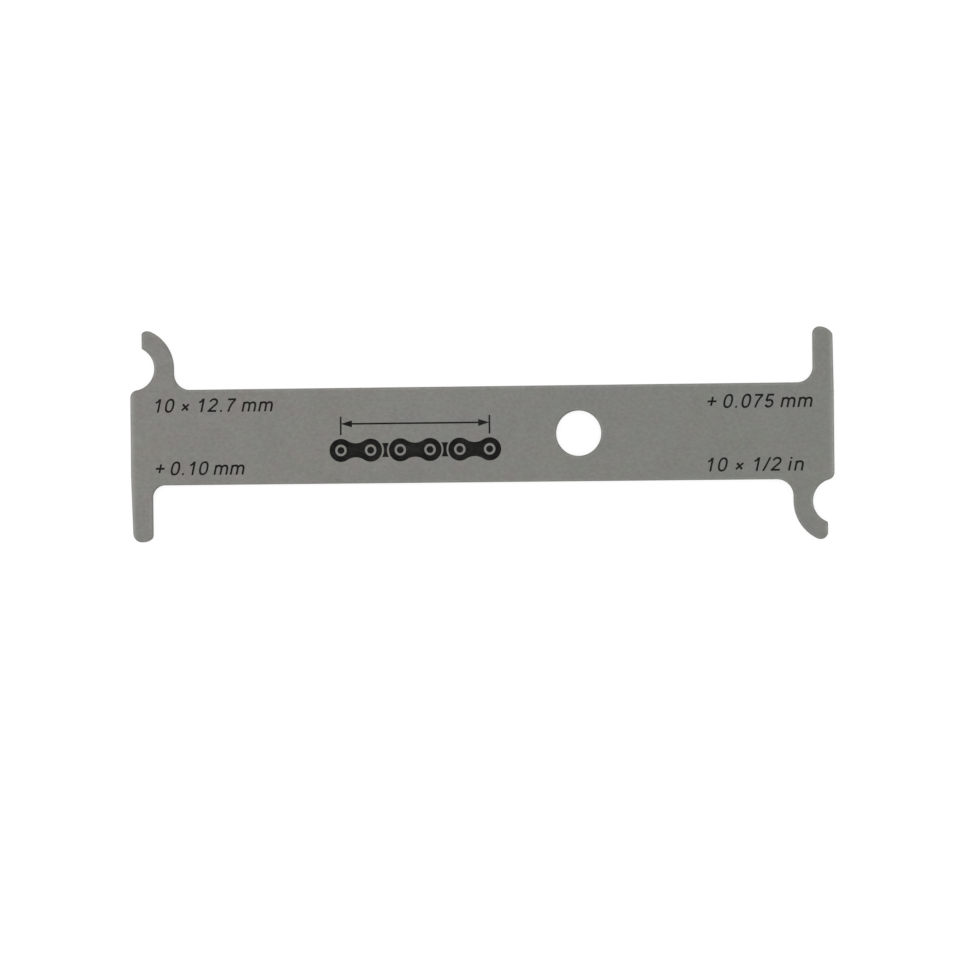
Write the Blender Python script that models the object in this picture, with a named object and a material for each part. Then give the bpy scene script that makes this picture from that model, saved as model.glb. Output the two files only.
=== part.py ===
"""A chain wear gauge: one flat stainless steel plate with a hook and a tooth on each long edge.

Metres, +Z up. The plate lies on its back with its marked face up. The origin is under the middle of
the body, X runs along the body and Y across it. The upper side is the one at +Y.
"""

import math

import bmesh
import bpy
from mathutils import Matrix

MM = 0.001

# Sheet
THICKNESS = 1.5 * MM
EDGE_ROUND = 0.25 * MM            # radius that tumbling leaves on both rims

# Body
BODY_WIDTH = 17.0 * MM
UPPER_GAUGE_LENGTH = 120.62 * MM  # from the upper hook's seat to the far end of the body
UPPER_SEAT_DEPTH = 4.38 * MM      # from the body's end in to the deepest point of the seat
LOWER_EXTRA_LENGTH = 0.58 * MM    # the lower side gauges a more worn chain, so it is longer

# Hooks, alike on both long edges
SEAT_RADIUS = 3.9 * MM            # a roller of 7.75 mm lies in it
SEAT_HEIGHT = 3.87 * MM           # from the body's long edge out to the centre of the seat
HOOK_WIDTH = 3.42 * MM
HOOK_SWEEP = math.radians(63.7)   # how far the hook bends over towards the body's end
HOOK_ROOT_RADIUS = 2.9 * MM
TIP_RADIUS = 1.34 * MM
NOSE_RADIUS = 0.5 * MM            # where the tip's flat meets its round top
LIP_EXTRA = 0.1 * MM              # how much rounder than the rims the flat's other corner is
MOUTH_RADIUS = 1.36 * MM          # the body's corner beside the seat
UPPER_TIP_CUT = 0.36 * MM         # how much of the round tip its flat takes off
LOWER_TIP_CUT = 0.02 * MM

# Tooth on the upper edge. A shoulder is as far out as the centre of its corner.
UPPER_TOOTH_WIDTH = 3.68 * MM
UPPER_TOOTH_RELIEF = 0.15 * MM    # how far the outer face has drawn in at the tip
UPPER_ROOT_RADIUS = 2.75 * MM
UPPER_CROWN_RADIUS = 2.8 * MM
UPPER_INNER_CORNER = 1.3 * MM
UPPER_INNER_SHOULDER = 8.47 * MM
UPPER_OUTER_CORNER = 0.6 * MM
UPPER_OUTER_SHOULDER = 8.235 * MM

# Tooth on the lower edge
LOWER_TOOTH_WIDTH = 3.8 * MM
LOWER_TOOTH_RELIEF = 0.34 * MM
LOWER_ROOT_RADIUS = 2.2 * MM
LOWER_CROWN_RADIUS = 2.7 * MM
LOWER_INNER_CORNER = 0.85 * MM
LOWER_INNER_SHOULDER = 8.92 * MM
LOWER_OUTER_CORNER = 1.6 * MM
LOWER_OUTER_SHOULDER = 8.51 * MM

RELIEF_START = 1.5 * MM           # the teeth's outer faces draw in from this far inside the edge

# Hanging hole
HOLE_DIAMETER = 8.0 * MM
HOLE_OFFSET = 17.6 * MM           # from the middle of the body towards the upper tooth

# Fineness of the round stretches
ARC_STEP = math.radians(6)
RIM_SEGMENTS = 3
SHARP_ANGLE = math.radians(40)
WELD_DISTANCE = 0.001 * MM

# Bare metal
STEEL_COLOUR = (0.22, 0.218, 0.205, 1.0)
STEEL_ROUGHNESS = 0.45

half_width = BODY_WIDTH / 2
half_length = (UPPER_GAUGE_LENGTH + UPPER_SEAT_DEPTH) / 2
lip_radius = EDGE_ROUND + LIP_EXTRA


def clear_scene():
    for obj in list(bpy.data.objects):
        bpy.data.objects.remove(obj, do_unlink=True)


def arc(centre, radius, start, end):
    """Points on a circle from angle start to angle end, either way round."""
    count = max(2, math.ceil(abs(end - start) / ARC_STEP))
    angles = [start + (end - start) * i / count for i in range(count + 1)]
    return [(centre[0] + radius * math.cos(a), centre[1] + radius * math.sin(a)) for a in angles]


def heading(start, end):
    """Angle of the way from one point to another, from nothing to a full turn."""
    return math.atan2(end[1] - start[1], end[0] - start[0]) % math.tau


def rise(distance, across):
    """How far along Y a point lies that is this far away, and this far along X."""
    return math.sqrt(distance**2 - across**2)


def centre_left_of(a, distance_a, b, distance_b):
    """The point at these distances from a and b, on the left of the way from a to b."""
    gap = math.dist(a, b)
    along = (gap**2 + distance_a**2 - distance_b**2) / (2 * gap)
    aside = rise(distance_a, along)
    step_x = (b[0] - a[0]) / gap
    step_y = (b[1] - a[1]) / gap
    return (a[0] + along * step_x - aside * step_y, a[1] + along * step_y + aside * step_x)


def hook_outline(seat_depth, tip_cut):
    """A hook, from the body's long edge round to its end.

    Here x runs in from the body's end and y out from the body's centre line.
    """
    outer_radius = SEAT_RADIUS + HOOK_WIDTH
    seat = (seat_depth - SEAT_RADIUS, half_width + SEAT_HEIGHT)
    root = (seat[0] + outer_radius + HOOK_ROOT_RADIUS, half_width + HOOK_ROOT_RADIUS)

    # The round tip touches the outer curve from inside.
    tip_reach = outer_radius - TIP_RADIUS
    tip = (seat[0] + tip_reach * math.cos(HOOK_SWEEP), seat[1] + tip_reach * math.sin(HOOK_SWEEP))
    flat = tip[0] - TIP_RADIUS + tip_cut
    nose_x = flat + NOSE_RADIUS
    nose = (nose_x, tip[1] + rise(TIP_RADIUS - NOSE_RADIUS, nose_x - tip[0]))
    lip_x = flat + lip_radius
    lip = (lip_x, seat[1] + rise(SEAT_RADIUS + lip_radius, lip_x - seat[0]))
    mouth = (MOUTH_RADIUS, seat[1] - rise(SEAT_RADIUS + MOUTH_RADIUS, MOUTH_RADIUS - seat[0]))

    points = arc(root, HOOK_ROOT_RADIUS, 1.5 * math.pi, math.pi)
    points += arc(seat, outer_radius, 0, HOOK_SWEEP)
    points += arc(tip, TIP_RADIUS, HOOK_SWEEP, heading(tip, nose))[1:]
    points += arc(nose, NOSE_RADIUS, heading(tip, nose), math.pi)[1:]
    points += arc(lip, lip_radius, math.pi, heading(lip, seat))
    points += arc(seat, SEAT_RADIUS, heading(seat, lip), heading(seat, mouth) - math.tau)[1:]
    points += arc(mouth, MOUTH_RADIUS, heading(mouth, seat), math.pi)[1:]
    return points


def tooth_outline(
    width, relief, root_radius, crown_radius, inner_corner, inner_shoulder, outer_corner, outer_shoulder
):
    """A tooth, from the body's long edge round to its end, in the same directions as a hook."""
    root = (width + root_radius, half_width + root_radius)
    inner = (width - inner_corner, half_width + inner_shoulder)
    outer = (outer_corner, half_width + outer_shoulder)
    crown = centre_left_of(inner, crown_radius - inner_corner, outer, crown_radius - outer_corner)

    points = arc(root, root_radius, 1.5 * math.pi, math.pi)
    points += arc(inner, inner_corner, 0, heading(crown, inner))
    points += arc(crown, crown_radius, heading(crown, inner), heading(crown, outer))[1:]
    points += arc(outer, outer_corner, heading(crown, outer), math.pi)[1:]

    # The outer face draws in towards the top, and the inner face stays square to the body.
    foot = half_width - RELIEF_START
    top = crown[1] + crown_radius
    drawn_in = []
    for x, y in points:
        share = (y - foot) / (top - foot) * max(0, 1 - x / width)
        drawn_in.append((x + relief * share, y))
    return drawn_in + [(0, foot)]


def plate_outline():
    """The outer outline of the plate, counter-clockwise seen from above."""
    upper_hook = hook_outline(UPPER_SEAT_DEPTH, UPPER_TIP_CUT)
    lower_hook = hook_outline(UPPER_SEAT_DEPTH - LOWER_EXTRA_LENGTH, LOWER_TIP_CUT)
    upper_tooth = tooth_outline(
        width=UPPER_TOOTH_WIDTH,
        relief=UPPER_TOOTH_RELIEF,
        root_radius=UPPER_ROOT_RADIUS,
        crown_radius=UPPER_CROWN_RADIUS,
        inner_corner=UPPER_INNER_CORNER,
        inner_shoulder=UPPER_INNER_SHOULDER,
        outer_corner=UPPER_OUTER_CORNER,
        outer_shoulder=UPPER_OUTER_SHOULDER,
    )
    lower_tooth = tooth_outline(
        width=LOWER_TOOTH_WIDTH,
        relief=LOWER_TOOTH_RELIEF,
        root_radius=LOWER_ROOT_RADIUS,
        crown_radius=LOWER_CROWN_RADIUS,
        inner_corner=LOWER_INNER_CORNER,
        inner_shoulder=LOWER_INNER_SHOULDER,
        outer_corner=LOWER_OUTER_CORNER,
        outer_shoulder=LOWER_OUTER_SHOULDER,
    )
    points = [(x - half_length, y) for x, y in upper_hook]
    points += [(x - half_length, -y) for x, y in reversed(lower_tooth)]
    points += [(half_length - x, -y) for x, y in lower_hook]
    points += [(half_length - x, y) for x, y in reversed(upper_tooth)]
    return points


def hole_outline():
    return arc((HOLE_OFFSET, 0), HOLE_DIAMETER / 2, 0, math.tau)[:-1]


def add_outline(curve, points):
    """A closed outline in a curve that is drawn in millimetres."""
    spline = curve.splines.new("POLY")
    spline.points.add(len(points) - 1)
    for spot, (x, y) in zip(spline.points, points):
        spot.co = (x / MM, y / MM, 0, 1)
    spline.use_cyclic_u = True


def plate_curve():
    """The filled outline, with the sheet's thickness and its rounded rims."""
    curve = bpy.data.curves.new("gauge_outline", "CURVE")
    curve.dimensions = "2D"
    curve.fill_mode = "BOTH"
    curve.extrude = (THICKNESS / 2 - EDGE_ROUND) / MM
    curve.bevel_depth = EDGE_ROUND / MM
    curve.bevel_resolution = RIM_SEGMENTS - 1
    curve.offset = -EDGE_ROUND / MM
    add_outline(curve, plate_outline())
    add_outline(curve, hole_outline())
    return curve


def steel_material():
    material = bpy.data.materials.new("satin_stainless_steel")
    material.use_nodes = True
    shader = material.node_tree.nodes["Principled BSDF"]
    shader.inputs["Base Color"].default_value = STEEL_COLOUR
    shader.inputs["Metallic"].default_value = 1.0
    shader.inputs["Roughness"].default_value = STEEL_ROUGHNESS
    return material


def plate_mesh(collection):
    """The drawn plate as a closed mesh in metres, about the middle of its thickness."""
    drawn = bpy.data.objects.new("gauge_outline", plate_curve())
    collection.objects.link(drawn)
    bpy.context.view_layer.update()
    evaluated = drawn.evaluated_get(bpy.context.evaluated_depsgraph_get())
    mesh = bpy.data.meshes.new_from_object(evaluated)
    mesh.name = "gauge_plate"
    bpy.data.objects.remove(drawn, do_unlink=True)
    mesh.transform(Matrix.Scale(MM, 4))

    # The two faces are loose from the rims until they are welded to them.
    shape = bmesh.new()
    shape.from_mesh(mesh)
    bmesh.ops.remove_doubles(shape, verts=shape.verts, dist=WELD_DISTANCE)
    shape.to_mesh(mesh)
    shape.free()
    mesh.shade_smooth()
    mesh.set_sharp_from_angle(angle=SHARP_ANGLE)
    return mesh


def make_plate(collection):
    """The plate, with its underside at Z = 0."""
    mesh = plate_mesh(collection)
    mesh.materials.clear()
    mesh.materials.append(steel_material())
    plate = bpy.data.objects.new("gauge_plate", mesh)
    plate.location = (0, 0, THICKNESS / 2)
    collection.objects.link(plate)
    return plate


def main():
    clear_scene()
    collection = bpy.data.collections.new("chain_wear_gauge")
    bpy.context.scene.collection.children.link(collection)
    make_plate(collection)


main()
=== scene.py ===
import math

import bpy
from mathutils import Euler, Matrix, Vector


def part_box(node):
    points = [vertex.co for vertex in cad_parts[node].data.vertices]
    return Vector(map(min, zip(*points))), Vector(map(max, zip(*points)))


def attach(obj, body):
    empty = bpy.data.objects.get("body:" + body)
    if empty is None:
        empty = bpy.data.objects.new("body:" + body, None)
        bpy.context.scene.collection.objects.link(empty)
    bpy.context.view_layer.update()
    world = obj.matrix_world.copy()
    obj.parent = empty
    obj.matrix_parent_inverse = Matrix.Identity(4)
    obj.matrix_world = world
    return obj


# A chain wear gauge: one matte steel plate with plain readings and a small chain picture printed on it.
# It lies on its back with the marked face up. Lengths in the dictionaries are in millimetres,
# or in metres where a note says so.

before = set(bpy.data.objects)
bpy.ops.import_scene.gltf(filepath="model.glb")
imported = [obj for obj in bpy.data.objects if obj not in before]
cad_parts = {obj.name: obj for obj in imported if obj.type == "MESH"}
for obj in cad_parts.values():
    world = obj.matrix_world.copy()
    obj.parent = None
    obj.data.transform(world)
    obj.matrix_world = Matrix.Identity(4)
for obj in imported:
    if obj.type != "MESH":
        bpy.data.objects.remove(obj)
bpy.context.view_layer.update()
mm = 0.001
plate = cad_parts["gauge_plate"]
plateLow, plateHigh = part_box("gauge_plate")
print("frame loaded, plate", [round(side / mm, 2) for side in plateHigh - plateLow], "mm")


# Small helpers for objects

def selectOnly(*objects):
    bpy.ops.object.select_all(action="DESELECT")
    for obj in objects:
        obj.select_set(True)
    bpy.context.view_layer.objects.active = objects[0]


def applyModifier(obj, kind, **settings):
    modifier = obj.modifiers.new(kind.lower(), kind)
    for name, value in settings.items():
        setattr(modifier, name, value)
    selectOnly(obj)
    bpy.ops.object.modifier_apply(modifier=modifier.name)


def unite(pieces):
    # one closed shape out of several that overlap
    for other in pieces[1:]:
        applyModifier(pieces[0], "BOOLEAN", operation="UNION", object=other)
        bpy.data.objects.remove(other)
    return pieces[0]


def cutAway(piece, cutter):
    cutter.scale.z = 2           # stands out above and below what it cuts
    applyModifier(piece, "BOOLEAN", operation="DIFFERENCE", object=cutter)
    bpy.data.objects.remove(cutter)
    return piece


# Small helpers for shader nodes

nodeStep = (200, -190)           # from one column or row of nodes to the next, in the shader editor


def addNode(tree, kind, column, row, **settings):
    made = tree.nodes.new(kind)
    made.location = (column * nodeStep[0], row * nodeStep[1])
    for name, value in settings.items():
        setattr(made, name, value)
    return made


def feed(tree, made, values):
    # each value is a plain one or the socket that it comes from
    for name, value in values.items():
        if isinstance(value, bpy.types.NodeSocket):
            tree.links.new(value, made.inputs[name])
        else:
            made.inputs[name].default_value = value
    return made


def maths(tree, column, row, operation, *values, clamp=False):
    made = addNode(tree, "ShaderNodeMath", column, row, operation=operation, use_clamp=clamp)
    feed(tree, made, dict(enumerate(values)))
    return made.outputs["Value"]


def blendColour(tree, column, row, mode, factor, first, second):
    made = addNode(tree, "ShaderNodeMix", column, row, data_type="RGBA", blend_type=mode)
    feed(tree, made, {0: factor, 6: first, 7: second})
    return made.outputs[2]


def spread(tree, column, row, value, low, high, toLow=0.0, toHigh=1.0, smooth=False):
    kind = "SMOOTHSTEP" if smooth else "LINEAR"
    made = addNode(tree, "ShaderNodeMapRange", column, row, interpolation_type=kind)
    feed(tree, made, {"Value": value, "From Min": low, "From Max": high, "To Min": toLow, "To Max": toHigh})
    return made.outputs["Result"]


def startGroup(name, inputs, outputs):
    tree = bpy.data.node_groups.new(name, "ShaderNodeTree")
    for label, value in inputs.items():
        kind = "NodeSocketVector" if value is None else "NodeSocketFloat"
        socket = tree.interface.new_socket(name=label, in_out="INPUT", socket_type=kind)
        if value is not None:
            socket.default_value = value
    for label in outputs:
        tree.interface.new_socket(name=label, in_out="OUTPUT", socket_type="NodeSocketFloat")
    return tree, addNode(tree, "NodeGroupInput", -1, 0).outputs, addNode(tree, "NodeGroupOutput", 9, 0)


def placeGroup(tree, group, column, row, values):
    made = addNode(tree, "ShaderNodeGroup", column, row)
    made.node_tree = group
    return feed(tree, made, values).outputs


# Effects that more than one material uses

noiseRange = (0.3, 0.7)          # nearly all values of a noise texture lie in here
softNoise = {"Detail": 2.0, "Roughness": 0.6}


def shifted(tree, column, row, given, amount):
    # the group's vector moved aside, so that each use of the group gets its own pattern
    aside = maths(tree, column, row, "ADD", given["Offset"], amount)
    made = addNode(tree, "ShaderNodeVectorMath", column + 1, row, operation="ADD")
    feed(tree, made, {0: given["Vector"], 1: aside})
    return made.outputs["Vector"]


def makeGrainGroup():
    # the fine grain of a rolled and blasted surface: Size is how far apart its grains are, in mm,
    # and Stretch is how much longer they are along X, the way that the sheet was rolled
    shadeHeight = 0.6            # how much the light grains stand up, next to the finer ridges
    inputs = {"Vector": None, "Size": 0.3, "Stretch": 1.0, "Offset": 0.0}
    tree, given, result = startGroup("fineGrain", inputs, ["Shade", "Height"])
    scale = maths(tree, 0, 0, "DIVIDE", 1 / mm, given["Size"])
    squeeze = addNode(tree, "ShaderNodeCombineXYZ", 0, 3)
    feed(tree, squeeze, {"X": maths(tree, -1, 3, "DIVIDE", 1.0, given["Stretch"]), "Y": 1.0, "Z": 1.0})
    drawn = addNode(tree, "ShaderNodeVectorMath", 0, 4, operation="MULTIPLY")
    feed(tree, drawn, {0: given["Vector"], 1: squeeze.outputs["Vector"]})
    place = {"Vector": drawn.outputs["Vector"], "Offset": given["Offset"]}
    soft = addNode(tree, "ShaderNodeTexNoise", 2, 0)
    feed(tree, soft, {"Vector": shifted(tree, 0, 1, place, 0.0), "Scale": scale, **softNoise})
    fine = addNode(tree, "ShaderNodeTexNoise", 2, 1)
    feed(tree, fine, {"Vector": shifted(tree, 0, 2, place, 1.7), "Scale": scale, "Detail": 0.0})
    shade = spread(tree, 3, 0, soft.outputs["Fac"], *noiseRange)
    folded = maths(tree, 3, 1, "PINGPONG", fine.outputs["Fac"], 0.5)      # ridges with hollows between them
    height = maths(tree, 4, 0, "MULTIPLY_ADD", shade, shadeHeight, folded)
    feed(tree, result, {"Shade": shade, "Height": height})
    return tree


def makeCloudGroup():
    # slow, cloudy change over the surface, for tone and for tint
    inputs = {"Vector": None, "Size": 12.0, "Offset": 0.0}
    tree, given, result = startGroup("clouds", inputs, ["Tone", "Tint"])
    scale = maths(tree, 0, 0, "DIVIDE", 1 / mm, given["Size"])
    for row, name in enumerate(("Tone", "Tint")):
        cloud = addNode(tree, "ShaderNodeTexNoise", 2, row)
        place = shifted(tree, 0, row + 1, given, 3.1 * row)
        feed(tree, cloud, {"Vector": place, "Scale": scale, **softNoise})
        feed(tree, result, {name: spread(tree, 3, row, cloud.outputs["Fac"], *noiseRange)})
    return tree


def makeHairlineGroup():
    # a few faint hairlines from handling, in two directions: Few is how high the noise has to rise for one
    directions = (17, -52)       # degrees
    contrast = 14.0              # how quickly a line goes over into the bare surface
    inputs = {"Vector": None, "Length": 9.0, "Width": 0.12, "Few": 0.69, "Offset": 0.0}
    tree, given, result = startGroup("hairlines", inputs, ["Mask"])
    along = maths(tree, 0, 0, "DIVIDE", 1 / mm, given["Length"])
    across = maths(tree, 0, 1, "DIVIDE", 1 / mm, given["Width"])
    stretch = addNode(tree, "ShaderNodeCombineXYZ", 1, 0)
    feed(tree, stretch, {"X": along, "Y": across, "Z": along})
    lines = []
    for row, angle in enumerate(directions):
        turned = addNode(tree, "ShaderNodeVectorRotate", 1, row + 1, rotation_type="Z_AXIS")
        place = shifted(tree, -1, row + 3, given, 0.9 * row)
        feed(tree, turned, {"Vector": place, "Angle": math.radians(angle)})
        stretched = addNode(tree, "ShaderNodeVectorMath", 2, row, operation="MULTIPLY")
        feed(tree, stretched, {0: turned.outputs["Vector"], 1: stretch.outputs["Vector"]})
        streak = addNode(tree, "ShaderNodeTexNoise", 3, row)
        feed(tree, streak, {"Vector": stretched.outputs["Vector"], "Scale": 1.0, "Detail": 0.0})
        few = maths(tree, 4, row, "SUBTRACT", streak.outputs["Fac"], given["Few"])
        lines.append(maths(tree, 5, row, "MULTIPLY", few, contrast, clamp=True))
    feed(tree, result, {"Mask": maths(tree, 6, 0, "MAXIMUM", *lines)})
    return tree


def makeFleckGroup():
    # small round spots, far apart: Few is how high the noise has to rise for one
    contrast = 16.0
    inputs = {"Vector": None, "Size": 1.0, "Few": 0.73, "Offset": 0.0}
    tree, given, result = startGroup("flecks", inputs, ["Mask"])
    scale = maths(tree, 0, 0, "DIVIDE", 1 / mm, given["Size"])
    spots = addNode(tree, "ShaderNodeTexNoise", 2, 0)
    place = shifted(tree, 0, 1, given, 0.0)
    feed(tree, spots, {"Vector": place, "Scale": scale, "Detail": 1.0, "Roughness": 0.3})
    rare = maths(tree, 3, 0, "SUBTRACT", spots.outputs["Fac"], given["Few"])
    feed(tree, result, {"Mask": maths(tree, 4, 0, "MULTIPLY", rare, contrast, clamp=True)})
    return tree


grainGroup = makeGrainGroup()
cloudGroup = makeCloudGroup()
hairlineGroup = makeHairlineGroup()
fleckGroup = makeFleckGroup()
print("shader groups ready")


# Matte steel

steelFinish = {
    "dark": (0.1716, 0.1712, 0.1614, 1),
    "light": (0.2197, 0.2184, 0.2054, 1),
    "bright": (0.2545, 0.252, 0.2443, 1),        # where wear has polished it, and the painted highlight on both ends
    "pitColour": (0.1, 0.098, 0.092, 1),
    "tornShade": (0.7, 0.69, 0.67, 1),           # times the colour where the wall is torn
    "pink": (1.0, 0.946, 0.955, 1),              # four faint tints that come and go over the sheet
    "green": (0.946, 1.0, 0.96, 1),
    "yellow": (1.0, 0.995, 0.965, 1),
    "blue": (0.985, 0.99, 1.0, 1),
    "leftDrift": (0.985, 0.970, 0.977, 1),       # the sheet's tint drifts along its length, from this
    "rightDrift": (0.982, 1.0, 0.998, 1),        # to this
    "edgeTint": (0.75, 0.75, 0.74, 1),           # keeps what is seen at a glancing angle from going white
    "grainSize": 0.54,
    "grainStretch": 1.35,        # how much longer the grains are along the sheet
    "grainDepth": 0.006,
    "speckSize": 0.16,
    "pitSize": 1.5,
    "pitsFew": 0.76,
    "cloudSize": 9,
    "patchSize": 2.8,
    "toneShares": {"grain": 0.56, "specks": 0.42, "clouds": 0.19},       # of the step from dark to light
    "toneDrop": 0.18,
    "tintShare": 0.8,
    "pitShare": 0.3,
    "rimRadius": 0.7,
    "rimTurn": (0.998, 0.9),     # cosines of the angles that a rim turns by where its wear starts and is full
    "rimPatches": (0.1, 0.8, 0.45, 1.0),         # two tones of the patches, and a rim's share of wear at each
    "endHighlightBand": (1.3, 0.35),      # painted highlight of the side lamps on the rims of both ends, from this far in to this far in
    # the ends' share is the painted highlight on both ends; rims and hairlines are wear
    "brightShares": {"rims": 0.3, "ends": 0.36, "hairlines": 0.12},
    "wallTurn": (0.35, 0.1),     # upward part of the normals between which a face turns into a wall
    "wallLines": (9, 9, 0.5),    # upright lines, so many to a millimetre round the wall and up it
    "burnished": 0.45,           # share of the wall, from the marked face down, that the punch left smooth
    "ragged": (0.24, 0.26),      # how far the lines and the patches move the end of the smooth band
    "bandBlur": 0.09,
    "tornShare": 0.45,
    "roughness": (0.46, 0.38),   # of the dark places and of the light ones
    "rougher": {"specks": 0.05, "rims": -0.08, "torn": 0.25, "lined": 0.08, "hairlines": -0.05},
    "speckHeight": 0.6,          # heights are shares of grainDepth
    "wornHeight": 0.45,          # what a worn rim keeps of the grain
    "dentHeight": -0.3,          # hairlines and pits
    "lineHeight": 2.5,
    "tornHeight": 2.0,
}


def makeSteel():
    material = bpy.data.materials.new("matteSteel")
    material.use_nodes = True
    tree = material.node_tree
    shader = tree.nodes["Principled BSDF"]
    shader.location.x = 11 * nodeStep[0]
    coords = addNode(tree, "ShaderNodeTexCoord", -1, 0).outputs["Object"]
    finish = steelFinish
    toneShares, brightShares = finish["toneShares"], finish["brightShares"]

    # tone and tint of the flat faces
    place = addNode(tree, "ShaderNodeSeparateXYZ", 1, 9)
    feed(tree, place, {"Vector": coords})
    clouds = placeGroup(tree, cloudGroup, 0, 0, {"Vector": coords, "Size": finish["cloudSize"]})
    patchy = {"Vector": coords, "Size": finish["patchSize"], "Offset": 3.0}
    patches = placeGroup(tree, cloudGroup, 0, 1, patchy)
    rolled = {"Vector": coords, "Size": finish["grainSize"], "Stretch": finish["grainStretch"]}
    grain = placeGroup(tree, grainGroup, 0, 2, rolled)
    specked = {"Vector": coords, "Size": finish["speckSize"], "Offset": 5.0}
    specks = placeGroup(tree, grainGroup, 0, 3, specked)
    scuffs = placeGroup(tree, hairlineGroup, 0, 4, {"Vector": coords})
    pitted = {"Vector": coords, "Size": finish["pitSize"], "Few": finish["pitsFew"]}
    pits = placeGroup(tree, fleckGroup, 0, 5, pitted)
    slow = maths(tree, 1, 0, "ADD", clouds["Tone"], patches["Tone"])
    near = maths(tree, 1, 2, "MULTIPLY", grain["Shade"], toneShares["grain"])
    near = maths(tree, 1, 3, "MULTIPLY_ADD", specks["Shade"], toneShares["specks"], near)
    near = maths(tree, 2, 1, "SUBTRACT", near, finish["toneDrop"])
    tone = maths(tree, 2, 0, "MULTIPLY_ADD", slow, toneShares["clouds"], near)
    colour = blendColour(tree, 3, 0, "MIX", tone, finish["dark"], finish["light"])
    pinkish = blendColour(tree, 3, 1, "MIX", patches["Tint"], finish["pink"], finish["green"])
    bluish = blendColour(tree, 3, 2, "MIX", clouds["Tint"], finish["yellow"], finish["blue"])
    colour = blendColour(tree, 4, 0, "MULTIPLY", finish["tintShare"], colour, pinkish)
    colour = blendColour(tree, 4, 1, "MULTIPLY", finish["tintShare"], colour, bluish)
    along = spread(tree, 3, 4, place.outputs["X"], plateLow.x, plateHigh.x)
    drift = blendColour(tree, 4, 4, "MIX", along, finish["leftDrift"], finish["rightDrift"])
    colour = blendColour(tree, 5, 0, "MULTIPLY", 1.0, colour, drift)
    darkened = maths(tree, 4, 2, "MULTIPLY", pits["Mask"], finish["pitShare"])
    colour = blendColour(tree, 5, 1, "MIX", darkened, colour, finish["pitColour"])

    # rims, where handling and tumbling have worn the grain off
    facing = addNode(tree, "ShaderNodeNewGeometry", 0, 6).outputs["Normal"]
    rounded = addNode(tree, "ShaderNodeBevel", 0, 7, samples=4)
    feed(tree, rounded, {"Radius": finish["rimRadius"] * mm})
    match = addNode(tree, "ShaderNodeVectorMath", 1, 6, operation="DOT_PRODUCT")
    feed(tree, match, {0: facing, 1: rounded.outputs["Normal"]})
    rim = spread(tree, 2, 6, match.outputs["Value"], *finish["rimTurn"])
    worn = maths(tree, 3, 6, "MULTIPLY", rim, spread(tree, 2, 7, patches["Tone"], *finish["rimPatches"]))

    # the outer rims of both ends, lighter: a painted highlight of the side lamps
    reach = maths(tree, 2, 12, "ABSOLUTE", place.outputs["X"])
    inner, outer = [plateHigh.x - inset * mm for inset in finish["endHighlightBand"]]
    paintedEndHighlight = spread(tree, 3, 12, reach, inner, outer, smooth=True)

    # walls: a punched sheet has a smooth band with upright lines, then a rough torn one
    upright = addNode(tree, "ShaderNodeSeparateXYZ", 1, 8)
    feed(tree, upright, {"Vector": facing})
    wall = spread(tree, 3, 8, maths(tree, 2, 8, "ABSOLUTE", upright.outputs["Z"]), *finish["wallTurn"])
    drawn = addNode(tree, "ShaderNodeMapping", 1, 10)
    feed(tree, drawn, {"Vector": coords, "Scale": [count / mm for count in finish["wallLines"]]})
    lines = addNode(tree, "ShaderNodeTexNoise", 2, 10)
    feed(tree, lines, {"Vector": drawn.outputs["Vector"], "Scale": 1.0, "Detail": 2.0})
    breakHeight = plateHigh.z - (plateHigh.z - plateLow.z) * finish["burnished"]
    byLines, byPatches = [reachUp * mm for reachUp in finish["ragged"]]
    blur = finish["bandBlur"] * mm
    lowest = breakHeight - (byLines + byPatches) / 2
    ragged = maths(tree, 3, 10, "MULTIPLY_ADD", lines.outputs["Fac"], byLines, lowest)
    ragged = maths(tree, 3, 11, "MULTIPLY_ADD", patches["Tint"], byPatches, ragged)
    over = maths(tree, 3, 9, "SUBTRACT", place.outputs["Z"], ragged)
    smoothBand = spread(tree, 4, 9, over, -blur, blur, smooth=True)
    torn = maths(tree, 5, 9, "MULTIPLY", wall, maths(tree, 4, 10, "SUBTRACT", 1.0, smoothBand))
    lined = maths(tree, 5, 10, "MULTIPLY", wall, smoothBand)

    # brighter where it is worn, and a painted highlight on both ends; darker where the wall is torn
    wearAndEndHighlight = maths(tree, 4, 6, "MULTIPLY", worn, brightShares["rims"])
    # painted highlight on both ends, added to the rims' wear
    wearAndEndHighlight = maths(tree, 5, 6, "MULTIPLY_ADD", paintedEndHighlight, brightShares["ends"], wearAndEndHighlight)
    wearAndEndHighlight = maths(tree, 6, 6, "MULTIPLY_ADD", scuffs["Mask"], brightShares["hairlines"], wearAndEndHighlight)
    colour = blendColour(tree, 7, 0, "MIX", wearAndEndHighlight, colour, finish["bright"])
    shaded = maths(tree, 6, 9, "MULTIPLY", torn, finish["tornShare"])
    colour = blendColour(tree, 8, 0, "MULTIPLY", shaded, colour, finish["tornShade"])

    rough = spread(tree, 4, 2, tone, 0.0, 1.0, *finish["roughness"])
    masks = {
        "specks": specks["Shade"],
        "rims": worn,
        "torn": torn,
        "lined": lined,
        "hairlines": scuffs["Mask"],
    }
    for column, (name, change) in enumerate(finish["rougher"].items(), 5):
        rough = maths(tree, column, 2, "MULTIPLY_ADD", masks[name], change, rough)

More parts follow.
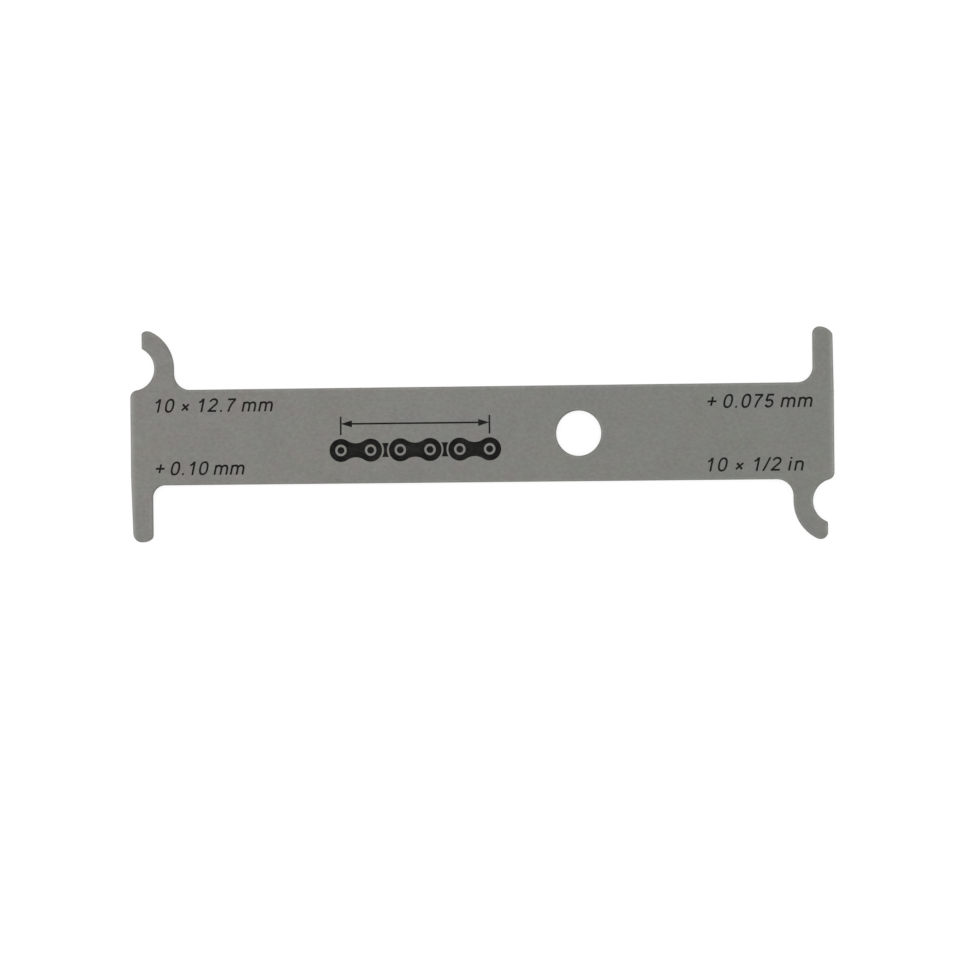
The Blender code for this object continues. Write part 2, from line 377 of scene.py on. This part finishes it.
    # relief: the grain, which wear has flattened, then what is pressed, drawn or torn into it
    kept = spread(tree, 3, 5, worn, 0.0, 1.0, 1.0, finish["wornHeight"])
    dents = maths(tree, 4, 5, "ADD", scuffs["Mask"], pits["Mask"])
    drawnLines = maths(tree, 5, 4, "MULTIPLY", lined, lines.outputs["Fac"])
    tornGrain = maths(tree, 6, 4, "MULTIPLY", torn, specks["Height"])
    height = maths(tree, 3, 3, "MULTIPLY_ADD", specks["Height"], finish["speckHeight"], grain["Height"])
    height = maths(tree, 4, 3, "MULTIPLY", height, kept)
    height = maths(tree, 5, 3, "MULTIPLY_ADD", dents, finish["dentHeight"], height)
    height = maths(tree, 6, 3, "MULTIPLY_ADD", drawnLines, finish["lineHeight"], height)
    height = maths(tree, 7, 3, "MULTIPLY_ADD", tornGrain, finish["tornHeight"], height)
    bump = addNode(tree, "ShaderNodeBump", 9, 3)
    depth = finish["grainDepth"] * mm
    feed(tree, bump, {"Height": height, "Distance": depth, "Normal": rounded.outputs["Normal"]})

    feed(tree, shader, {
        "Base Color": colour,
        "Roughness": rough,
        "Normal": bump.outputs["Normal"],
        "Metallic": 1.0,
        "Specular Tint": finish["edgeTint"],
    })
    return material


steel = makeSteel()
plate.material_slots[0].material = steel
print("plate finished in", steel.name)


# Black print

inkFinish = {
    "deep": (0.0035, 0.0035, 0.0035, 1),
    "thin": (0.023, 0.0225, 0.0197, 1),
    "bare": (0.06, 0.0595, 0.056, 1),            # where the steel begins to show through
    "grainSize": 0.11,
    "grainDepth": 0.003,
    "cloudSize": 3.0,
    "scuffsFew": 0.68,
    "scuffShare": 0.25,
    "fleckSize": 0.5,
    "flecksFew": 0.72,
    "fleckShare": 0.35,
    "roughness": (0.5, 0.62),
    "gloss": 0.06,
}


def makeInk():
    material = bpy.data.materials.new("blackInk")
    material.use_nodes = True
    tree = material.node_tree
    shader = tree.nodes["Principled BSDF"]
    shader.location.x = 7 * nodeStep[0]
    coords = addNode(tree, "ShaderNodeTexCoord", -1, 0).outputs["Object"]
    finish = inkFinish
    grain = placeGroup(tree, grainGroup, 0, 0, {"Vector": coords, "Size": finish["grainSize"], "Offset": 2.0})
    cloudy = {"Vector": coords, "Size": finish["cloudSize"], "Offset": 4.0}
    clouds = placeGroup(tree, cloudGroup, 0, 1, cloudy)
    scuffed = {"Vector": coords, "Few": finish["scuffsFew"], "Offset": 1.0}
    scuffs = placeGroup(tree, hairlineGroup, 0, 2, scuffed)
    flecked = {"Vector": coords, "Size": finish["fleckSize"], "Few": finish["flecksFew"], "Offset": 6.0}
    flecks = placeGroup(tree, fleckGroup, 0, 3, flecked)
    thin = maths(tree, 1, 0, "MULTIPLY", grain["Shade"], clouds["Tone"])
    colour = blendColour(tree, 2, 0, "MIX", thin, finish["deep"], finish["thin"])
    bare = maths(tree, 2, 2, "MULTIPLY", scuffs["Mask"], finish["scuffShare"])
    bare = maths(tree, 2, 3, "MULTIPLY_ADD", flecks["Mask"], finish["fleckShare"], bare)
    colour = blendColour(tree, 3, 0, "MIX", bare, colour, finish["bare"])
    bump = addNode(tree, "ShaderNodeBump", 4, 2)
    feed(tree, bump, {"Height": grain["Height"], "Distance": finish["grainDepth"] * mm})
    feed(tree, shader, {
        "Base Color": colour,
        "Roughness": spread(tree, 3, 1, grain["Shade"], 0.0, 1.0, *finish["roughness"]),
        "Normal": bump.outputs["Normal"],
        "Specular IOR Level": finish["gloss"],
    })
    return material


ink = makeInk()
print("ink ready")


# Figures, drawn with a pen of even width. Their digits are 1 high, from the baseline at 0, until they are
# laid on the plate.

figures = {
    "height": 2.4,
    "film": 0.012,               # thickness of the print
    "sunk": 0.004,               # how far it reaches into the plate's face, so that no gap shows
    "slant": 0.2126,             # from here on, shares of the height: how far the top leans to the right
    "pen": 0.147,                # width of a stroke
    "xHeight": 0.73,             # height of the small letters
    "overshoot": 0.024,          # how far round strokes pass the lines that straight ones end on
    "weld": 0.0005,              # corners of a stroke that are nearer than this are made one
}
halfPen = figures["pen"] / 2
below, above = -0.2, 1.2         # strokes that end on the baseline or at the top run past it, to be cut there
barOf5 = 1.002 - halfPen         # a little high, so that the cut at the top doesn't lie in the bar's own side


def bow(centre, radii, start, end, power=2.0, steps=18):
    # points on an ellipse, or on a squarer curve where the power is above 2
    points = []
    for i in range(steps + 1):
        angle = math.radians(start + (end - start) * i / steps)
        across = math.copysign(abs(math.cos(angle)) ** (2 / power), math.cos(angle))
        up = math.copysign(abs(math.sin(angle)) ** (2 / power), math.sin(angle))
        points.append((centre[0] + radii[0] * across, centre[1] + radii[1] * up))
    return points


def arch(left, right):
    # the shoulder of an m or an n, and the stem that it runs into
    middle, reach = (left + right) / 2, (right - left) / 2
    rise = 0.27
    top = figures["xHeight"] + figures["overshoot"] - halfPen
    return bow((middle, top - rise), (reach, rise), 155, 0, 2.3) + [(right, below)]


round0 = 0.5 + figures["overshoot"] - halfPen    # half the height of a full-height round stroke
stem = 0.14                                      # where the first upright of an m, n or i stands
glyphs = {                                       # width, and strokes
    " ": (0.25, []),
    "+": (0.80, [[(0.075, 0.49), (0.735, 0.49)], [(0.405, 0.17), (0.405, 0.82)]]),
    ".": (0.39, [[(0.125, halfPen), (0.265, halfPen)]]),
    "/": (0.42, [[(-0.03, below), (0.45, above)]]),
    "0": (0.78, [bow((0.388, 0.5), (0.266, round0), 0, 360, 2.4, 40)]),
    "1": (0.78, [[(0.457, below), (0.457, above)], bow((0.13, 1.06), (0.29, 0.335), -85, -3, 2.0, 10)]),
    "2": (0.78, [bow((0.375, 0.5 + round0 - 0.235), (0.262, 0.235), 172, -32) + [(0.12, 0.09)],
                 [(0.045, halfPen), (0.705, halfPen)]]),
    "5": (0.78, [[(0.20, barOf5), (0.62, barOf5)], [(0.2345, above), (0.125, 0.47)],
                 bow((0.365, 0.325 - figures["overshoot"]), (0.25, 0.325 - halfPen), 142, -158, 2.0, 28)]),
    "7": (0.78, [[(0.08, 1 - halfPen), (0.68, 1 - halfPen)], bow((1.22, -0.12), (0.95, 1.28), 183, 128.5)]),
    "i": (0.33, [[(stem, below), (stem, figures["xHeight"])], [(stem, 0.865), (stem, 1.0)]]),
    "m": (1.16, [[(stem, below), (stem, figures["xHeight"])], arch(stem, 0.578), arch(0.578, 1.016)]),
    "n": (0.78, [[(stem, below), (stem, figures["xHeight"])], arch(stem, 0.625)]),
    "x": (0.78, [[(0.16, 0.14), (0.62, 0.60)], [(0.16, 0.60), (0.62, 0.14)]]),
}


def makeNib():
    # the stroke's section, a rectangle 1 high that is pressed down to the print's thickness at the end
    bpy.ops.mesh.primitive_plane_add(size=1, location=(0, 0, 0))
    nib = bpy.context.object
    nib.scale.x = figures["pen"]
    bpy.ops.object.transform_apply(scale=True)
    bpy.ops.object.mode_set(mode="EDIT")
    bpy.ops.mesh.delete(type="ONLY_FACE")
    bpy.ops.object.mode_set(mode="OBJECT")
    bpy.ops.object.convert(target="CURVE")
    nib.name = "nib"
    return bpy.context.object


def drawStroke(points, nib):
    closed = math.dist(points[0], points[-1]) < figures["weld"]
    if closed:
        points = points[:-1]
    bpy.ops.object.select_all(action="DESELECT")
    bpy.ops.object.add(type="CURVE")
    stroke = bpy.context.object
    line = stroke.data.splines.new("POLY")
    line.points.add(len(points) - 1)
    for spot, (x, y) in zip(line.points, points):
        spot.co = (x, y, 0, 1)
    line.use_cyclic_u = closed
    stroke.data.dimensions = "3D"
    stroke.data.twist_mode = "Z_UP"
    stroke.data.bevel_mode = "OBJECT"
    stroke.data.bevel_object = nib
    stroke.data.use_fill_caps = not closed
    bpy.ops.object.convert(target="MESH")
    stroke = bpy.context.object
    bpy.ops.object.mode_set(mode="EDIT")
    bpy.ops.mesh.select_all(action="SELECT")
    bpy.ops.mesh.remove_doubles(threshold=figures["weld"])
    bpy.ops.mesh.normals_make_consistent(inside=False)
    bpy.ops.object.mode_set(mode="OBJECT")
    for corner in stroke.data.vertices:
        corner.co.z = math.copysign(0.5, corner.co.z)        # exactly level, so that strokes unite cleanly
    return stroke


def makeGlyph(strokes, nib):
    glyph = unite([drawStroke(points, nib) for points in strokes])
    # what runs past the baseline or the top is cut off there
    heights = [y for points in strokes for x, y in points]
    cuts = [(0, -1)] * (min(heights) < 0) + [(1, 1)] * (max(heights) > 1)
    selectOnly(glyph)
    bpy.ops.object.mode_set(mode="EDIT")
    for cutHeight, outward in cuts:
        bpy.ops.mesh.select_all(action="SELECT")
        onCut, across = (0, cutHeight, 0), (0, outward, 0)
        bpy.ops.mesh.bisect(plane_co=onCut, plane_no=across, clear_outer=True, use_fill=True)
    bpy.ops.object.mode_set(mode="OBJECT")
    return glyph


nib = makeNib()
glyphShapes = {letter: makeGlyph(strokes, nib) for letter, (width, strokes) in glyphs.items() if strokes}
bpy.data.objects.remove(nib)
print("figures drawn:", "".join(glyphShapes))


def layOnPlate(piece, name, size, slant, place):
    # presses a flat shape that is 1 thick down to the print's film, at its place on the marked face
    low = plateHigh.z - figures["sunk"] * mm
    thick = figures["film"] * mm + figures["sunk"] * mm
    leaning = Matrix.Identity(4)
    leaning[0][1] = slant
    placed = Matrix.Translation((place[0] * mm, place[1] * mm, low + thick / 2))
    piece.data.transform(placed @ Matrix.Diagonal((size * mm, size * mm, thick, 1)) @ leaning)
    piece.name = name
    piece.data.name = name
    piece.data.materials.clear()
    piece.data.materials.append(ink)
    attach(piece, "root")
    return piece


def writeFigures(name, text, left, baseline, tracking):
    letters, along = [], 0.0
    for letter in text:
        if letter in glyphShapes:
            selectOnly(glyphShapes[letter])
            bpy.ops.object.duplicate()
            copy = bpy.context.object
            copy.data.transform(Matrix.Translation((along, 0, 0)))
            letters.append(copy)
        along += glyphs[letter][0] + tracking
    selectOnly(*letters)
    bpy.ops.object.join()
    return layOnPlate(bpy.context.object, name, figures["height"], figures["slant"], (left, baseline))


readings = {                     # text, left end, baseline, extra space after each figure
    "upperReading": ("+ 0.075 mm", 39.95, 4.145, 0.077),
    "lowerReading": ("+ 0.10 mm", -58.39, -6.70, 0.058),
    "pitchMetric": ("10 x 12.7 mm", -58.6, 4.5, 0.085),
    "pitchInch": ("10 x 1/2 in", 39.64, -7.0, 0.11),
}
for name, (text, left, baseline, tracking) in readings.items():
    writeFigures(name, text, left, baseline, tracking)
for shape in glyphShapes.values():
    bpy.data.objects.remove(shape)
print("readings printed:", ", ".join(readings))


# Chain picture: a stretch of chain from the side under a measuring arrow

chainPicture = {
    "centre": (-11.4, -0.65),
    "pitch": 5.3,
    "pins": 6,
    "plateRadius": 2.05,
    "waistHalf": 1.25,
    "pinRadius": 0.62,
    "ringRadius": 1.02,          # a bare ring round each pin
    "gap": 0.32,                 # bare metal between plates
    "chainDrop": 1.95,           # how far the chain's centre line is below the picture's centre
    "arrowRise": 2.75,           # how far the arrow's line is above it
    "lineWidth": 0.3,
    "headLength": 2.0,
    "headHalf": 0.62,
    "tickTop": 4.05,             # how far the upper ends of both ticks are above it
    "tickFoot": 0.75,            # and their lower ends
}


def addDisc(x, y, radius, corners=64):
    bpy.ops.mesh.primitive_cylinder_add(vertices=corners, radius=radius, depth=1, location=(x, y, 0))
    return bpy.context.object


def addBar(x, y, wide, high):
    bpy.ops.mesh.primitive_cube_add(size=1, location=(x, y, 0))
    bar = bpy.context.object
    bar.scale = (wide, high, 1)
    bpy.ops.object.transform_apply(location=False, rotation=False, scale=True)
    return bar


def addOuterPlate(left, y):
    # two round ends and a waist whose hollow sides touch them, with a bare ring about each pin
    p = chainPicture
    endRadius, waist, half = p["plateRadius"], p["waistHalf"], p["pitch"] / 2
    middle = left + half
    hollowRadius = (half ** 2 + waist ** 2 - endRadius ** 2) / (2 * (endRadius - waist))
    share = endRadius / (endRadius + hollowRadius)
    touch = share * (waist + hollowRadius)       # how far up the hollow side meets the round end
    body = addBar(middle, y, p["pitch"] * (1 - share) + p["gap"], 2 * touch)
    for side in (1, -1):
        cutAway(body, addDisc(middle, y + side * (waist + hollowRadius), hollowRadius, corners=128))
    plateShape = unite([body, addDisc(left, y, endRadius), addDisc(left + p["pitch"], y, endRadius)])
    pins = []
    for x in (left, left + p["pitch"]):
        cutAway(plateShape, addDisc(x, y, p["ringRadius"]))
        pins.append(addDisc(x, y, p["pinRadius"], corners=32))
    return [plateShape, *pins]


def addInnerPlate(left, y):
    # what shows of an inner plate between two outer ones
    p = chainPicture
    middle = left + p["pitch"] / 2
    body = addBar(middle, y, p["pitch"], 2 * p["waistHalf"])
    for x in (left, left + p["pitch"]):
        cutAway(body, addDisc(x, y, p["plateRadius"] + p["gap"]))
    return [body]


def addArrow(left, right, y):
    # a line with a head at each end, and the tick that each head points at
    p = chainPicture
    shapes = [addBar((left + right) / 2, y, right - left - p["headLength"], p["lineWidth"])]
    for x, side in ((left, 1), (right, -1)):
        bpy.ops.mesh.primitive_cylinder_add(vertices=3, radius=1, depth=1, location=(0, 0, 0))
        head = bpy.context.object
        corners = sorted(head.data.vertices, key=lambda v: (v.co.z, v.co.x))
        spots = [(0, -p["headHalf"]), (-side * p["headLength"], 0), (0, p["headHalf"])]
        for level in (corners[:3], corners[3:]):
            for corner, (along, across) in zip(sorted(level, key=lambda v: v.co.x), sorted(spots)):
                corner.co.x, corner.co.y = x + side * p["headLength"] + along, y + across
        shapes.append(head)
        tickMiddle = (p["tickTop"] + p["tickFoot"]) / 2
        shapes.append(addBar(x, tickMiddle, p["lineWidth"], p["tickTop"] - p["tickFoot"]))
    return [unite(shapes)]


def makeChainPicture():
    p = chainPicture
    first = -p["pitch"] * (p["pins"] - 1) / 2
    shapes = addArrow(first, -first, p["arrowRise"])
    for link in range(p["pins"] - 1):
        left = first + link * p["pitch"]
        shapes += (addOuterPlate if link % 2 == 0 else addInnerPlate)(left, -p["chainDrop"])
    selectOnly(*shapes)
    bpy.ops.object.transform_apply(location=True, rotation=False, scale=True)
    selectOnly(*shapes)
    bpy.ops.object.join()
    return layOnPlate(bpy.context.object, "chainPicture", 1.0, 0.0, p["centre"])


makeChainPicture()
print("chain picture printed")


# Camera, where the photograph was taken from: a little to the right of straight above

camera = {
    "aim": (0.078, -8.096),      # the spot of the marked face in the middle of the picture
    "distance": 600,
    "turn": (-0.074, 5.023, -0.585),             # degrees about X, Y and Z
    "pixelsPerMm": 5.652,        # at the marked face
    "pictureSide": 960,
    "sensor": 36,
    "clips": (0.01, 20),         # metres
}


def makeCamera():
    turn = Euler([math.radians(a) for a in camera["turn"]], "ZXY")
    aim = Vector((camera["aim"][0] * mm, camera["aim"][1] * mm, plateHigh.z))
    back = turn.to_matrix() @ Vector((0, 0, camera["distance"] * mm))
    bpy.ops.object.camera_add(location=aim + back, rotation=turn.to_matrix().to_euler())
    made = bpy.context.object
    made.data.sensor_width = camera["sensor"]
    sensorPerPixel = camera["sensor"] / camera["pictureSide"]
    made.data.lens = camera["pixelsPerMm"] * camera["distance"] * sensorPerPixel
    made.data.clip_start, made.data.clip_end = camera["clips"]
    bpy.context.scene.camera = made


makeCamera()
print("camera placed")


# Floor, lamps and world

studio = {
    "floorSide": 6.0,            # metres
    "floorDrop": 0.01,           # millimetres under the plate, so that no two faces share a plane
    "floorColour": (0.3, 0.3, 0.3, 1),
    "floorRoughness": 0.9,
    "floorLift": 0.80,           # white that the camera and the metal see on top of the lamps' light there
    "farLift": 0.95,             # the same far from the plate, where the lamps hardly reach
    "liftReach": (0.25, 1.2),    # how many metres away one starts to go over into the other, and has done so
    "worldLevel": 0.6,           # the world's light, for all rays but those that see the background's white
    "lamps": {                   # place and side in metres, brightness of the lit side where white is 1
        "leftBox": ((-0.75, 0.0, 0.5), 0.6, 1.2),
        "rightBox": ((0.75, 0.0, 0.5), 0.6, 1.4),
        "backBox": ((0.0, 0.75, 0.5), 0.6, 1.5),
        "frontBox": ((0.0, -0.75, 0.5), 0.6, 0.9),
        "topBox": ((-0.45, 0.1, 1.1), 0.6, 0.45),
    },
}


def backgroundRays(tree, column, row):
    # 1 for the rays that show the background: the camera's, and those that metal or glass sends on
    path = addNode(tree, "ShaderNodeLightPath", column, row).outputs
    seen = maths(tree, column + 1, row, "MAXIMUM", path["Is Camera Ray"], path["Is Glossy Ray"])
    return maths(tree, column + 2, row, "MAXIMUM", seen, path["Is Transmission Ray"])


def makeFloor():
    bpy.ops.object.select_all(action="DESELECT")
    level = plateLow.z - studio["floorDrop"] * mm
    bpy.ops.mesh.primitive_plane_add(size=studio["floorSide"], location=(0, 0, level))
    floor = bpy.context.object
    floor.name = "floor"
    material = bpy.data.materials.new("paleFloor")
    material.use_nodes = True
    tree = material.node_tree
    shader = tree.nodes["Principled BSDF"]
    shader.location.x = 5 * nodeStep[0]
    seen = backgroundRays(tree, 0, 1)
    away = addNode(tree, "ShaderNodeVectorMath", 1, 2, operation="LENGTH")
    feed(tree, away, {0: addNode(tree, "ShaderNodeTexCoord", 0, 2).outputs["Object"]})
    lifts = (studio["floorLift"], studio["farLift"])
    lift = spread(tree, 2, 2, away.outputs["Value"], *studio["liftReach"], *lifts)
    feed(tree, shader, {
        "Base Color": studio["floorColour"],
        "Roughness": studio["floorRoughness"],
        "Specular IOR Level": 0.0,
        "Emission Color": (1, 1, 1, 1),
        "Emission Strength": maths(tree, 4, 1, "MULTIPLY", seen, lift),
    })
    floor.data.materials.append(material)


def makeLamps():
    for name, (place, side, brightness) in studio["lamps"].items():
        bpy.ops.object.light_add(type="AREA", location=place)
        lamp = bpy.context.object
        lamp.name = name
        lamp.data.size = side
        lamp.data.energy = brightness * math.pi * side ** 2
        lamp.rotation_euler = (-Vector(place)).to_track_quat("-Z", "Y").to_euler()
        lamp.visible_camera = False


def makeWorld():
    world = bpy.data.worlds.new("studioWorld")
    bpy.context.scene.world = world
    world.use_nodes = True
    tree = world.node_tree
    tree.nodes.clear()
    light = feed(tree, addNode(tree, "ShaderNodeBackground", 3, 0), {"Strength": studio["worldLevel"]})
    white = feed(tree, addNode(tree, "ShaderNodeBackground", 3, 1), {"Strength": 1.0})
    for background in (light, white):
        background.inputs["Color"].default_value = (1, 1, 1, 1)
    mix = addNode(tree, "ShaderNodeMixShader", 4, 0)
    feed(tree, mix, {0: backgroundRays(tree, 0, 0), 1: light.outputs[0], 2: white.outputs[0]})
    feed(tree, addNode(tree, "ShaderNodeOutputWorld", 5, 0), {"Surface": mix.outputs[0]})


makeFloor()
makeLamps()
makeWorld()
bpy.context.scene.view_settings.view_transform = "Standard"
print("studio ready")
